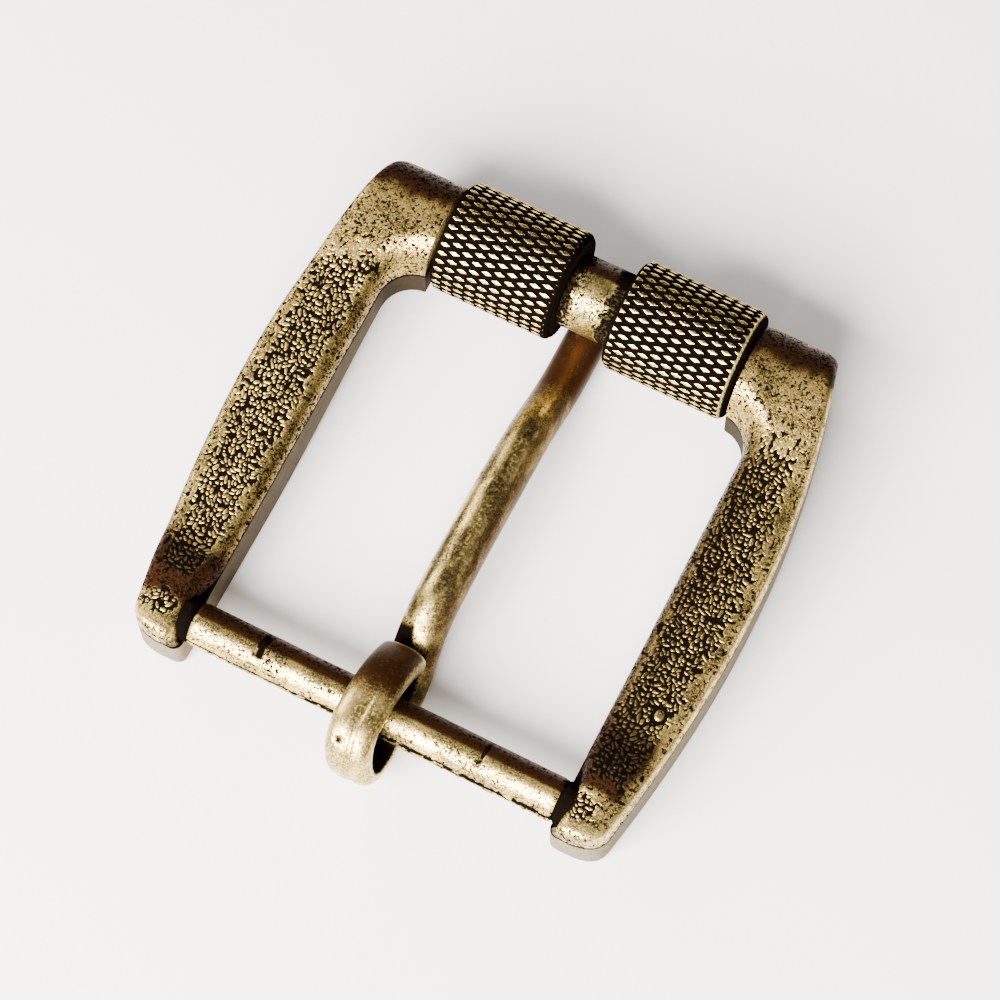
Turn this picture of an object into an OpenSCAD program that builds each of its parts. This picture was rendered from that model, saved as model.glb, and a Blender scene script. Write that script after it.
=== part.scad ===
// Roller buckle for a strap, lying on a surface with its cast faces up.
// X runs along the two bars, Y from the heel bar to the rollers, and Z up from the surface.
// The buckle rests on its two heel blocks and on the prong's far end, which lies under the collar.

/* [Frame] */
// Clear width between the two arms, for the strap
window_w = 41.3; // [30:0.1:60]
// Distance from the heel bar's axis to the roller bar's axis, seen from above
axis_span = 49; // [42:0.1:70]
// Width of an arm where it is widest
arm_w = 8.45; // [7:0.05:12]
// How far an arm's outer edge draws in from its widest place to the heel bar's axis
heel_bow = 2.4; // [0.5:0.1:3.5]
// How far an arm's outer edge draws in from its widest place to the roller bar's axis
rear_bow = 2.8; // [0.5:0.1:3.5]
// Height of the heel bar's axis above the surface, and of the mould's parting plane there
heel_z = 5.1; // [5:0.1:8]
// Height of a heel block above the parting plane
heel_crown = 2.4; // [1.5:0.1:4]
// Lowest height of an arm's crown above the parting plane, behind the heel block
dip_crown = 1.3; // [0.8:0.1:1.5]
// Height of an arm's crown above the parting plane, in front of the roller housing
mid_crown = 2.3; // [1.6:0.1:3.5]
// How much an arm's middle stands above its edges, as a gentle arch
camber = 0.35; // [0:0.05:0.6]
// Heel block's reach in front of the heel bar's axis
heel_reach = 3.5; // [3.1:0.1:5]
// Rounding of a heel block's front edges
heel_round = 1; // [0.5:0.1:1.5]
// Rounding of a heel block's outer corner, seen from above
heel_corner = 2.2; // [0.5:0.1:3]
// Width of the rounded shoulder along an arm's inner edge
inner_round = 1.7; // [0.8:0.1:2.5]
// Width and drop of the bevel along an arm's outer edge
outer_round = 0.8; // [0.3:0.1:1.5]
// Rounding along the lower edges of an arm
foot_round = 0.5; // [0.2:0.1:1]
// Radius of the window's corners beside the rollers
corner_r = 3.8; // [1:0.1:5]

/* [Roller housing] */
// Height of the round housing above the roller bar's axis, and its reach behind the axis
housing_r = 4.8; // [4.2:0.1:7]
// Reach of the housing's front wall before the roller bar's axis
housing_front = 5.6; // [4.6:0.1:8]
// Depth of the housing below the roller bar's axis
housing_depth = 4.2; // [3:0.1:5]
// Rounding of the housing's outer rear corner
housing_corner = 1.8; // [0.6:0.1:3]

/* [Bars] */
// Diameter of the heel bar
heel_bar_d = 4.58; // [3.5:0.02:4.8]
// Diameter of the neck at each end of the heel bar
neck_d = 3.9; // [2.5:0.05:4]
// Length of the neck that shows between the bar's shoulder and the heel block
neck_len = 1.1; // [0.6:0.05:1.6]
// Diameter of the bar inside the rollers
axle_d = 5; // [3.5:0.1:5.4]
// Diameter of the plain collar between the rollers
collar_d = 8.04; // [6.4:0.02:9]
// Length of the collar
collar_l = 6; // [5.8:0.1:9]
// Depth to which each bar end is let into its arm
socket_depth = 4; // [2:0.1:4.2]

/* [Rollers] */
// Outside diameter of a roller over its knurling
roller_d = 12; // [10:0.05:14]
// Length of a roller
roller_l = 13.6; // [8:0.1:16]
// Chamfer at each end of a roller
roller_chamfer = 0.45; // [0.1:0.05:0.8]

/* [Prong] */
// Diameter of the prong's shank
shank_d = 4.8; // [3.5:0.1:5]
// Thickness of the prong where it lies under the collar
tip_t = 3.6; // [3:0.1:4.5]
// Width of the prong at its tip
tip_w = 4.5; // [3:0.1:5]
// How far the tip stands off to the left of the middle
tip_side = 0.3; // [0:0.05:0.5]
// Reach of the tip past the roller bar's axis
tip_over = 4.6; // [2:0.1:4.8]
// Height of the shank's highest point above the heel bar's axis
shank_rise = 0.3; // [0:0.1:1.2]
// Width of the curl round the heel bar
curl_w = 5; // [4:0.1:6]
// Thickness of the curl
curl_t = 2.6; // [2:0.05:2.65]
// How far the round end of the curl's eye lies in front of the heel bar's axis
curl_back = 2.5; // [0.5:0.1:3]
// Reach of the curl's end back over the shank, from the heel bar's axis
curl_end = 6.2; // [5:0.1:8]
// Sideways offset between the curl's upper and lower runs
curl_skew = 1; // [0:0.1:1.5]

/* [Fits] */
// Gap between the heel bar and the curl's eye
eye_gap = 0.13; // [0.08:0.01:0.3]
// Radial running gap between a roller and its bar
roller_gap = 0.06; // [0.02:0.01:0.1]
// Gap between a roller and the collar
end_gap = 0.12; // [0.1:0.02:0.4]
// Gap between a roller and the housing beside it
side_gap = 0.55; // [0.3:0.05:1]
// Gap between the prong's far end and the collar
tip_gap = 0.1; // [0.05:0.01:0.3]
// Gap round a bar's end in its socket
socket_gap = 0.03; // [0.02:0.01:0.1]

/* [Hidden] */
$fn = 72;

// Heights above the surface and distances from the heel bar's axis
roller_z = tip_t + tip_gap + collar_d / 2;
rise = roller_z - heel_z;
window_x = window_w / 2;
widest_x = window_x + arm_w;
widest_y = 0.54 * axis_span;
window_y = axis_span - housing_front;
rear_y = axis_span + housing_r;
curl_in = heel_bar_d / 2 + eye_gap;
curl_mid = curl_in + curl_t / 2;
curl_reach = curl_back + curl_mid + curl_t / 2;
// The origin is on the surface under the middle of the buckle's outline
rear_reach = max(rear_y, axis_span + roller_d / 2);
front_reach = max(curl_reach, heel_reach);
origin_y = (rear_reach - front_reach) / 2;
// Distances from the middle of the bars, along X
roller_in = collar_l / 2 + end_gap;
roller_out = roller_in + roller_l;
housing_x = roller_out + side_gap;
neck_x = window_x - 0.4;
block_x = neck_x + neck_len;
spigot_x = window_x + socket_depth;
axle_x = housing_x + socket_depth;

function smooth(t) = t <= 0 ? 0 : t >= 1 ? 1 : t * t * (3 - 2 * t);
function mix(a, b, t) = a + (b - a) * t;
// Height share of a quarter-round edge at depth share u inside the edge
function quarter(u) = u >= 1 ? 1 : u <= 0 ? 0 : sqrt(1 - (1 - u) * (1 - u));

// Outline of the right arm, by distance y from the heel bar's axis
function rear_corner(y) = let (t = y - (rear_y - housing_corner))
    t <= 0 ? 0 : housing_corner - sqrt(max(0, pow(housing_corner, 2) - t * t));
function front_corner(y) = let (t = heel_corner - heel_reach - y)
    t <= 0 ? 0 : heel_corner - sqrt(max(0, pow(heel_corner, 2) - t * t));
function bow(y) = y < widest_y
    ? heel_bow * pow(1 - y / widest_y, 2)
    : rear_bow * pow((y - widest_y) / (axis_span - widest_y), 2);
function outer_x(y) = widest_x - bow(y) - rear_corner(y) - front_corner(y);
function corner_x(y) = let (t = y - (window_y - corner_r))
    t <= 0 ? window_x : window_x - corner_r + sqrt(max(0, corner_r * corner_r - t * t));
function low_x(y) = y >= window_y ? housing_x : max(housing_x, corner_x(y));
function scoop(y) = (block_x - window_x) * (1 - smooth((y - 0.6 * heel_reach) / heel_reach));
function high_x(y) = low_x(y) + scoop(y);

// Heights of the arm's parting plane, underside and crown
function parting_z(y) = heel_z + rise * y / axis_span;
function under_z(y) = let (a = 0.3 * axis_span, b = 0.9 * axis_span)
    (roller_z - housing_depth) * smooth((y - a) / (b - a));
function crown(y) = y >= axis_span
    ? housing_r * sqrt(max(0, 1 - pow((y - axis_span) / housing_r, 2)))
    : mix(dip_crown, mid_crown, smooth((y - 0.16 * axis_span) / (0.62 * axis_span)))
      + (heel_crown - dip_crown) * (1 - smooth((y - 0.06 * axis_span) / (0.12 * axis_span)))
      + (housing_r - mid_crown) * smooth((y - 0.74 * axis_span) / (0.26 * axis_span));

// Distance of a point from the window's outline, which is rounded beside the rollers
function window_gap(x, y) = let (qx = x - window_x + corner_r - scoop(y), qy = y - window_y + corner_r)
    norm([max(qx, 0), max(qy, 0)]) + min(max(qx, qy), 0) - corner_r;
function shoulder(y) = inner_round * (1 + 0.6 * smooth((y - 0.8 * axis_span) / (0.08 * axis_span))
    - 0.5 * (1 - smooth(y / (0.12 * axis_span))));
function arch(x, y) = let (low = high_x(y), high = outer_x(y), t = (2 * x - low - high) / (high - low))
    camber * (1 - t * t) * (1 - smooth((y - 0.8 * axis_span) / (0.2 * axis_span)));
function top_h(x, y, e) = max(0.02, (crown(y) + arch(x, y)) * quarter(window_gap(x, y) / shoulder(y))
    - outer_round * (1 - quarter((outer_x(y) - e - x) / outer_round)) - e);

// One ring of the right arm at y, drawn in by e all round
top_n = 12;
foot_n = 2;
function arm_ring(y, e) = let (
        zp = parting_z(y), zb = under_z(y) + e, xl = low_x(y) + e, xh = high_x(y) + e, xo = outer_x(y) - e,
        r = min(foot_round, (zp - zb) / 3))
    concat(
        [for (k = [0:foot_n]) let (a = 90 * k / foot_n) [xl + r * (1 - sin(a)), y, zb + r * (1 - cos(a))]],
        [[xl, y, zp - 0.05]],
        [for (k = [0:top_n]) let (x = mix(xh, xo, (1 - cos(180 * k / top_n)) / 2))
            [x, y, zp + top_h(x, y, e)]],
        [for (k = [foot_n:-1:0]) let (a = 90 * k / foot_n)
            [xo - r * (1 - sin(a)), y, zb + r * (1 - cos(a))]]);

// Stations of the rings: [y, inset]
round_n = 4;
heel_stations = [for (k = [0:round_n]) let (a = 90 * k / round_n)
    [-heel_reach + heel_round * (1 - cos(a)), heel_round * (1 - sin(a))]];
run_a = heel_round - heel_reach;
run_b = window_y - corner_r;
run_n = 22;
run_stations = [for (k = [1:run_n - 1]) [mix(run_a, run_b, k / run_n), 0]];
corner_n = 6;
corner_stations = [for (k = [0:corner_n]) [run_b + corner_r * sin(90 * k / corner_n) - 0.02, 0]];
front_n = 5;
front_stations = [for (k = [0:front_n]) [window_y + shoulder(window_y) * (1 - cos(90 * k / front_n)), 0]];
rear_a = front_stations[front_n][0];
rear_n = 8;
rear_stations = [for (k = [1:rear_n]) [mix(rear_a, rear_y, sin(90 * k / rear_n)), k == rear_n ? 0.2 : 0]];
stations = concat(heel_stations, run_stations, corner_stations, front_stations, rear_stations);

// Closed body through rings of equal length, with a fan to a middle point at each end
function flat(rings) = [for (r = rings) each r];
function middle(ring) = [for (c = [0:2]) (max([for (p = ring) p[c]]) + min([for (p = ring) p[c]])) / 2];
module loft(rings) {
    n = len(rings[0]);
    m = len(rings);
    points = concat(flat(rings), [middle(rings[0]), middle(rings[m - 1])]);
    sides = [for (i = [0:m - 2], j = [0:n - 1]) let (
            a = i * n + j, b = i * n + (j + 1) % n, c = a + n, d = b + n)
        each [[a, c, d], [a, d, b]]];
    first_cap = [for (j = [0:n - 1]) [m * n, j, (j + 1) % n]];
    last_cap = [for (j = [0:n - 1]) [m * n + 1, (m - 1) * n + (j + 1) % n, (m - 1) * n + j]];
    polyhedron(points = points, faces = concat(first_cap, last_cap, sides), convexity = 6);
}

// Cylinder along X from x0 to x1, at distance y and height z
module rod_x(r, x0, x1, y, z) {
    translate([x0, y, z]) rotate([0, 90, 0])
        cylinder(r = r, h = x1 - x0);
}

module arm() {
    difference() {
        loft([for (s = stations) arm_ring(s[0], s[1])]);
        rod_x(axle_d / 2 + socket_gap, housing_x - 1, axle_x + end_gap, axis_span, roller_z);
        rod_x(neck_d / 2 + socket_gap, neck_x - 1, spigot_x + end_gap, 0, heel_z);
    }
}

module arm_right() {
    color([0.62, 0.5, 0.3]) translate([0, -origin_y, 0]) arm();
}

module arm_left() {
    color([0.62, 0.5, 0.3]) translate([0, -origin_y, 0]) mirror([1, 0, 0]) arm();
}

// The heel bar: a round bar with rounded shoulders, and a neck and a spigot at each end
bar_round = 0.6;
function bar_end(s) = [for (k = [0:4]) let (a = 90 * k / 4)
    [heel_bar_d / 2 - bar_round * (1 - cos(a)), s * (neck_x - bar_round + bar_round * sin(a))]];
module heel_bar() {
    low = bar_end(-1);
    high = bar_end(1);
    outline = concat(
        [[0, -spigot_x], [neck_d / 2, -spigot_x], [neck_d / 2, -neck_x]],
        [for (k = [4:-1:0]) low[k]], high,
        [[neck_d / 2, neck_x], [neck_d / 2, spigot_x], [0, spigot_x]]);
    color([0.66, 0.55, 0.34]) translate([0, -origin_y, heel_z]) rotate([0, 90, 0])
        rotate_extrude() polygon(outline);
}

module roller_bar() {
    color([0.6, 0.5, 0.32]) translate([0, -origin_y, 0]) {
        rod_x(collar_d / 2, -collar_l / 2, collar_l / 2, axis_span, roller_z);
        rod_x(axle_d / 2, -axle_x, -collar_l / 2 + 0.5, axis_span, roller_z);
        rod_x(axle_d / 2, collar_l / 2 - 0.5, axle_x, axis_span, roller_z);
    }
}

// A roller from x0 along X, chamfered at both ends and bored to run on the bar
module roller(x0) {
    r = roller_d / 2;
    c = roller_chamfer;
    bore = axle_d / 2 + roller_gap;
    translate([x0, axis_span - origin_y, roller_z]) rotate([0, 90, 0])
        rotate_extrude()
            polygon([[bore, 0], [r - c, 0], [r, c],
                [r, roller_l - c], [r - c, roller_l], [bore, roller_l]]);
}

module roller_left() {
    color([0.3, 0.25, 0.18]) roller(-roller_out);
}

module roller_right() {
    color([0.3, 0.25, 0.18]) roller(roller_in);
}

// The prong's middle line. Heights are taken from the heel bar's axis.
under_t = -curl_mid;
tip_z = -heel_z + tip_t / 2;
function far_share(y) = smooth((y - 0.68 * axis_span) / (0.2 * axis_span));
function arch_z(y) = mix(shank_rise - 0.26 * axis_span * pow(y / axis_span - 0.4, 2), tip_z, far_share(y));
dip_near = curl_back + 0.6;
dip_far = curl_end + 7.2;
function shank_z(y) = mix(arch_z(y), under_t, smooth((dip_far - y) / (dip_far - dip_near)));
under_x = 0.5 * curl_skew;
// Each row is [place, width, thickness]: the tip, the shank, the run under the bar, the round end,
// the run over the bar and the end of the curl
function shank_row(y) = let (
        far = smooth((y - 0.5 * axis_span) / (0.36 * axis_span)),
        near = smooth((dip_far - y) / (dip_far - dip_near)))
    [[mix(-tip_side * y / axis_span, under_x, near * near), y, shank_z(y)],
        mix(mix(shank_d, tip_w, far), curl_w, near),
        mix(mix(shank_d, tip_t, far), curl_t, near)];
tip_n = 3;
tip_y = axis_span + tip_over;
blunt = 0.45 * tip_t;
tip_rows = [for (k = [0:tip_n]) let (a = 10 + 80 * k / tip_n, row = shank_row(tip_y - blunt * (1 - sin(a))))
    [row[0], row[1] * mix(0.35, 1, 1 - cos(a)) , row[2] * mix(0.35, 1, 1 - cos(a))]];
shank_n = 16;
shank_rows = [for (k = [1:shank_n]) shank_row(mix(tip_y - blunt, dip_far, k / shank_n))];
dip_n = 9;
dip_rows = [for (k = [1:dip_n]) shank_row(mix(dip_far, dip_near, k / dip_n))];
turn_n = 10;
turn_rows = [for (k = [0:turn_n]) let (a = 180 * k / turn_n)
    [[under_x - curl_skew * smooth((a - 60) / 120), -curl_back - curl_mid * sin(a), -curl_mid * cos(a)],
        curl_w, curl_t]];
fall_n = 7;
fall = curl_mid - 0.75;
fall_rows = [for (k = [1:fall_n]) let (t = k / fall_n, y = mix(-curl_back, curl_end - 0.3, t),
        g = max(0, y / (curl_end - 0.3)))
    [[(under_x - curl_skew) * (1 - 0.6 * t * t), y, curl_mid - fall * g * g], curl_w, curl_t]];
last = fall_rows[fall_n - 1];
end_rows = [for (s = [[0.18, 0.93], [0.27, 0.8]])
    [last[0] + [0, s[0], -s[0] * 2 * fall / (curl_end - 0.3)], last[1] * s[1], last[2] * s[1]]];
prong_rows = concat(tip_rows, shank_rows, dip_rows, turn_rows, fall_rows, end_rows);

// A ring of the prong: a rounded oblong across the path, with its flat way along X
ring_n = 14;
function power(v, p) = sign(v) * pow(abs(v), p);
function across(i) = let (
        a = prong_rows[max(0, i - 1)][0], b = prong_rows[min(len(prong_rows) - 1, i + 1)][0],
        d = [0, b[1] - a[1], b[2] - a[2]])
    [0, -d[2], d[1]] / norm(d);
function prong_ring(i) = let (
        row = prong_rows[i], up = across(i), p = mix(1, 0.8, smooth((row[1] / row[2] - 1.1) / 0.5)))
    [for (j = [0:ring_n - 1]) let (a = -360 * (j + 0.5) / ring_n)
        row[0] + [row[1] / 2 * power(cos(a), p), 0, 0] + up * row[2] / 2 * power(sin(a), p)];

module prong() {
    color([0.6, 0.47, 0.28]) translate([0, -origin_y, heel_z])
        loft([for (i = [0:len(prong_rows) - 1]) prong_ring(i)]);
}

arm_left();
arm_right();
heel_bar();
roller_bar();
roller_left();
roller_right();
prong();
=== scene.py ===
import math

import bpy
import numpy as np
from mathutils import Matrix, Vector


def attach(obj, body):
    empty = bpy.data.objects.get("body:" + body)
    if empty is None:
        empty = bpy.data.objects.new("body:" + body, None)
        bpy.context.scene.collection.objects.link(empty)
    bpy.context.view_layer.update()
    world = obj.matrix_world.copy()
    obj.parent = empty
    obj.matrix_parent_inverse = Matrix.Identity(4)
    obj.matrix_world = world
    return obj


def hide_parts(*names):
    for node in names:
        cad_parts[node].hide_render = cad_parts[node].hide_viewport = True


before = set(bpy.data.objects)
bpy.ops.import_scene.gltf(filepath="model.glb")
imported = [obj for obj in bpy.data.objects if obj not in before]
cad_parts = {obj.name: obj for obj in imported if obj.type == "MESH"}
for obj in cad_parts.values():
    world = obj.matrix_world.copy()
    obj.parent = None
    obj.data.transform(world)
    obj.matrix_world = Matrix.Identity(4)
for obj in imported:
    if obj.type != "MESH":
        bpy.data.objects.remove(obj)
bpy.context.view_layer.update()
print("frame loaded:", ", ".join(sorted(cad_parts)))

# Lengths below are in millimetres, counted from the heel bar's axis along Y and from the floor in Z
buckle = dict(
    span=49.0,         # heel bar axis to roller bar axis, seen from above
    heelHeight=5.1,    # heel bar axis above the floor
    rollerHeight=7.72,  # roller bar axis above the floor
    middleY=23.74,     # the frame's origin, counted from the heel bar axis
)
span = buckle["span"]
rise = buckle["rollerHeight"] - buckle["heelHeight"]


# ---- small helpers ----

def smooth(t):  # 0 below 0, 1 above 1, and t*t*(3 - 2t) between
    t = np.clip(t, 0, 1)
    return t * t * (3 - 2 * t)


def mix(a, b, t):  # a + (b - a)*t
    return a + (b - a) * t


def quarter(u):  # height of a quarter circle at share u of its depth: sqrt(1 - (1 - u)^2)
    u = np.clip(u, 0, 1)
    return np.sqrt(1 - (1 - u) ** 2)


def ridge(t, width):  # bell of height 1: exp(-(t/width)^2)
    return np.exp(-(t / width) ** 2)


def scatter(i, j, k):  # even scatter in 0..1 for whole numbers: fraction of sin(i*a + j*b + k*c)*d
    value = np.sin(i * 127.1 + j * 311.7 + k * 74.7) * 43758.5453
    return value - np.floor(value)


def rolling(u, v, k):  # value noise: scatter on a unit grid, mixed smoothly between the four corners
    i, j = np.floor(u), np.floor(v)
    s, t = smooth(u - i), smooth(v - j)
    low = mix(scatter(i, j, k), scatter(i + 1, j, k), s)
    high = mix(scatter(i, j + 1, k), scatter(i + 1, j + 1, k), s)
    return mix(low, high, t)


def volume(points, faces):  # six times the volume that the faces close in, fanned from their first corners
    corner = points[faces]
    return sum((corner[:, 0] * np.cross(corner[:, i], corner[:, i + 1])).sum()
               for i in range(1, faces.shape[1] - 1))


def makeMesh(name, points, quads, fans, marks, flatAngle):
    # A piece from points in mm, quads and triangles, turned outwards; each mark becomes an attribute
    points = points - [0, buckle["middleY"], 0]
    if volume(points, quads) + volume(points, fans) < 0:
        quads, fans = quads[:, ::-1], fans[:, ::-1]
    mesh = bpy.data.meshes.new(name)
    mesh.vertices.add(len(points))
    mesh.vertices.foreach_set("co", (points * 0.001).astype(np.float32).ravel())
    mesh.loops.add(quads.size + fans.size)
    mesh.loops.foreach_set("vertex_index", np.concatenate([quads.ravel(), fans.ravel()]).astype(np.int32))
    mesh.polygons.add(len(quads) + len(fans))
    starts = np.concatenate([np.arange(len(quads)) * 4, quads.size + np.arange(len(fans)) * 3])
    mesh.polygons.foreach_set("loop_start", starts.astype(np.int32))
    mesh.update(calc_edges=True)
    mesh.polygons.foreach_set("use_smooth", np.ones(len(mesh.polygons), bool))
    if flatAngle:
        mesh.set_sharp_from_angle(angle=math.radians(flatAngle))
    for key, values in marks.items():
        layer = mesh.attributes.new(key, "FLOAT", "POINT")
        layer.data.foreach_set("value", values.astype(np.float32))
    piece = bpy.data.objects.new(name, mesh)
    bpy.context.scene.collection.objects.link(piece)
    print(name, "has", len(quads) * 2 + len(fans), "triangles")
    return piece


def makePiece(name, rows, marks, flatAngle=None):
    # Closed skin through rings of points: quads between neighbouring rings, a fan to a middle point at each end
    m, n = rows.shape[:2]
    ends = np.stack([rows[0].mean(0), rows[-1].mean(0)])
    points = np.concatenate([rows.reshape(-1, 3), ends])
    i, j = np.arange(m - 1)[:, None] * n, np.arange(n)[None, :]
    k = (np.arange(n) + 1) % n
    quads = np.stack([i + j, i + k, i + k + n, i + j + n], -1).reshape(-1, 4)
    j, last = np.arange(n), (m - 1) * n
    fans = np.concatenate([np.stack([np.full(n, m * n), k, j], -1),
                           np.stack([np.full(n, m * n + 1), last + j, last + k], -1)])
    closed = {key: np.concatenate([v.ravel(), v[0].mean(keepdims=True), v[-1].mean(keepdims=True)])
              for key, v in marks.items()}
    return makeMesh(name, points, quads, fans, closed, flatAngle)


def makeRing(name, rows, marks, flatAngle=None):
    # A tube closed on itself: the last ring joins the first
    m, n = rows.shape[:2]
    i, j = np.arange(m)[:, None], np.arange(n)[None, :]
    i2, j2 = (i + 1) % m, (j + 1) % n
    quads = np.stack([i * n + j, i * n + j2, i2 * n + j2, i2 * n + j], -1).reshape(-1, 4)
    flat = {key: v.ravel() for key, v in marks.items()}
    return makeMesh(name, rows.reshape(-1, 3), quads, np.zeros((0, 3), int), flat, flatAngle)


def standFor(piece, node, body, material):
    piece.data.materials.append(material)
    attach(piece, body)
    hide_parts(node)


def closeEnds(rows, marks, steps):
    # Flat ends: each end ring drawn in to its middle in steps, at shares 1 - s of its size
    shares = 1 - np.arange(1, steps + 1)[:, None, None] / (steps + 0.6)
    first, last = rows[0].mean(0), rows[-1].mean(0)
    front = (first + (rows[0] - first) * shares)[::-1]
    back = last + (rows[-1] - last) * shares
    longer = {k: np.concatenate([np.repeat(v[:1], steps, 0), v, np.repeat(v[-1:], steps, 0)])
              for k, v in marks.items()}
    return np.concatenate([front, rows, back]), longer


# ---- shader maths ----

class Wire:  # one socket of a shader; arithmetic on it adds Math nodes
    def __init__(self, tree, socket):
        self.tree, self.socket = tree, socket

    def node(self, kind, settings=None, values=None, out=0):
        made = self.tree.nodes.new(kind)
        for key, value in (settings or {}).items():
            setattr(made, key, value)
        for key, value in (values or {}).items():
            if isinstance(value, Wire):
                self.tree.links.new(value.socket, made.inputs[key])
            else:
                made.inputs[key].default_value = value
        return Wire(self.tree, made.outputs[out])

    def sum(self, kind, a, b=0.0, c=0.0):
        return self.node("ShaderNodeMath", {"operation": kind}, {0: a, 1: b, 2: c})

    def __add__(self, other): return self.sum("ADD", self, other)
    def __radd__(self, other): return self.sum("ADD", other, self)
    def __sub__(self, other): return self.sum("SUBTRACT", self, other)
    def __rsub__(self, other): return self.sum("SUBTRACT", other, self)
    def __mul__(self, other): return self.sum("MULTIPLY", self, other)
    def __rmul__(self, other): return self.sum("MULTIPLY", other, self)
    def __truediv__(self, other): return self.sum("DIVIDE", self, other)
    def __pow__(self, other): return self.sum("POWER", self, other)

    def step(self, low, high, first=0.0, last=1.0):  # smooth step from first at low to last at high
        settings = {"interpolation_type": "SMOOTHSTEP", "clamp": True}
        return self.node("ShaderNodeMapRange", settings, {0: self, 1: low, 2: high, 3: first, 4: last})

    def tint(self, first, last):  # colour between first, where self is 0, and last, where it is 1
        pair = [c if isinstance(c, Wire) else (*c, 1.0) for c in (first, last)]
        settings = {"data_type": "RGBA", "clamp_factor": True}
        return self.node("ShaderNodeMix", settings, {0: self, 6: pair[0], 7: pair[1]}, 2)

    def grain(self, size, detail=2.0, rough=0.5, twist=0.0):  # noise whose lumps are about size mm
        values = {"Vector": self, "Scale": 1000 / size, "Detail": detail, "Roughness": rough,
                  "Distortion": twist}
        return self.node("ShaderNodeTexNoise", None, values)

    def stretched(self, x, y, z):  # the same place, with its axes scaled
        return self.node("ShaderNodeMapping", None, {0: self, 3: (x, y, z)})


def newBrass(name):
    # An empty material with a shader; returns what the look functions need
    material = bpy.data.materials.new(name)
    material.use_nodes = True
    tree = material.node_tree
    tree.nodes.clear()
    start = Wire(tree, None)
    shader = tree.nodes.new("ShaderNodeBsdfPrincipled")
    output = tree.nodes.new("ShaderNodeOutputMaterial")
    tree.links.new(shader.outputs[0], output.inputs[0])
    shader.inputs["Specular IOR Level"].default_value = 0.0  # dark patina stays dull; the brass is metal
    place = start.node("ShaderNodeTexCoord", None, None, "Object")
    return material, tree, shader, place


def mark(place, name):  # the value that the mesh carries under that name
    return place.node("ShaderNodeAttribute", {"attribute_name": name}, None, "Fac")


def finishBrass(tree, shader, colour, rough, metal, height, depth):
    # Colour, roughness and metalness go to the shader, and the height in mm is a bump
    bump = height.node("ShaderNodeBump", None, {"Strength": 1.0, "Distance": depth * 0.001, "Height": height})
    for key, wire in (("Base Color", colour), ("Roughness", rough), ("Metallic", metal), ("Normal", bump)):
        tree.links.new(wire.socket, shader.inputs[key])


brassLook = dict(
    gold=(0.60, 0.405, 0.11),
    cream=(1.0, 0.77, 0.28),
    olive=(0.21, 0.14, 0.038),
    umber=(0.036, 0.021, 0.008),
    brown=(0.034, 0.013, 0.0045),
    black=(0.0025, 0.0016, 0.0011),
    grey=(0.18, 0.148, 0.098),
)


# ---- arms ----

arm = dict(
    windowX=20.65, windowY=43.4, widestX=29.1, widestY=26.46, heelBow=2.4, rearBow=2.8,
    heelReach=3.5, heelRound=1.0, heelCorner=2.2, innerRound=1.7, outerRound=0.8, footRound=0.5,
    cornerR=3.8, blockX=21.35, housingX=17.27, housingR=4.8, housingDepth=4.2, housingCorner=1.8,
    rearY=53.8, heelCrown=2.4, dipCrown=1.3, midCrown=2.3, camber=0.35,
    partingDepth=0.07,   # groove of the mould's parting line
    grainPitch=0.58,     # spacing of the raised grains
    grainDepth=0.12,     # how far the ground lies below the grains
    rimPlace=0.65,       # fine groove inside the polished rim, from the outer edge
    rimDepth=0.07,
)


def cornerCut(t, radius):  # how far a rounded corner draws the outline in: radius - sqrt(radius^2 - t^2)
    return np.where(t <= 0, 0, radius - np.sqrt(np.maximum(0, radius ** 2 - t * t)))


def outerX(y):  # outer outline: the widest place less a parabola each way, less the two rounded corners
    bow = np.where(y < arm["widestY"], arm["heelBow"] * (1 - y / arm["widestY"]) ** 2,
                   arm["rearBow"] * ((y - arm["widestY"]) / (span - arm["widestY"])) ** 2)
    rear = cornerCut(y - (arm["rearY"] - arm["housingCorner"]), arm["housingCorner"])
    front = cornerCut(arm["heelCorner"] - arm["heelReach"] - y, arm["heelCorner"])
    return arm["widestX"] - bow - rear - front


def lowX(y):  # inner outline of the wall: the window's side, its rounded corner, then the housing's face
    corner = arm["windowX"] - cornerCut(y - (arm["windowY"] - arm["cornerR"]), arm["cornerR"])
    return np.where(y >= arm["windowY"], arm["housingX"], np.maximum(arm["housingX"], corner))


def scoop(y):  # the crown's inner edge stands back beside the heel bar's neck
    return (arm["blockX"] - arm["windowX"]) * (1 - smooth((y - 0.6 * arm["heelReach"]) / arm["heelReach"]))


def partingZ(y):
    return buckle["heelHeight"] + rise * y / span


def underZ(y):  # underside: on the floor at the heel, rising smoothly to the housing's underside
    a, b = 0.3 * span, 0.9 * span
    return (buckle["rollerHeight"] - arm["housingDepth"]) * smooth((y - a) / (b - a))


def crown(y):  # height over the parting plane: heel block, dip, rise to the middle, then the round housing
    run = mix(arm["dipCrown"], arm["midCrown"], smooth((y - 0.16 * span) / (0.62 * span)))
    run = run + (arm["heelCrown"] - arm["dipCrown"]) * (1 - smooth((y - 0.06 * span) / (0.12 * span)))
    run = run + (arm["housingR"] - arm["midCrown"]) * smooth((y - 0.74 * span) / (0.26 * span))
    tube = arm["housingR"] * np.sqrt(np.maximum(0, 1 - ((y - span) / arm["housingR"]) ** 2))
    return np.where(y >= span, tube, run)


def windowGap(x, y):  # distance from the window's outline, a rectangle with rounded corners
    qx = x - arm["windowX"] + arm["cornerR"] - scoop(y)
    qy = y - arm["windowY"] + arm["cornerR"]
    return np.hypot(np.maximum(qx, 0), np.maximum(qy, 0)) + np.minimum(np.maximum(qx, qy), 0) - arm["cornerR"]


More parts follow.
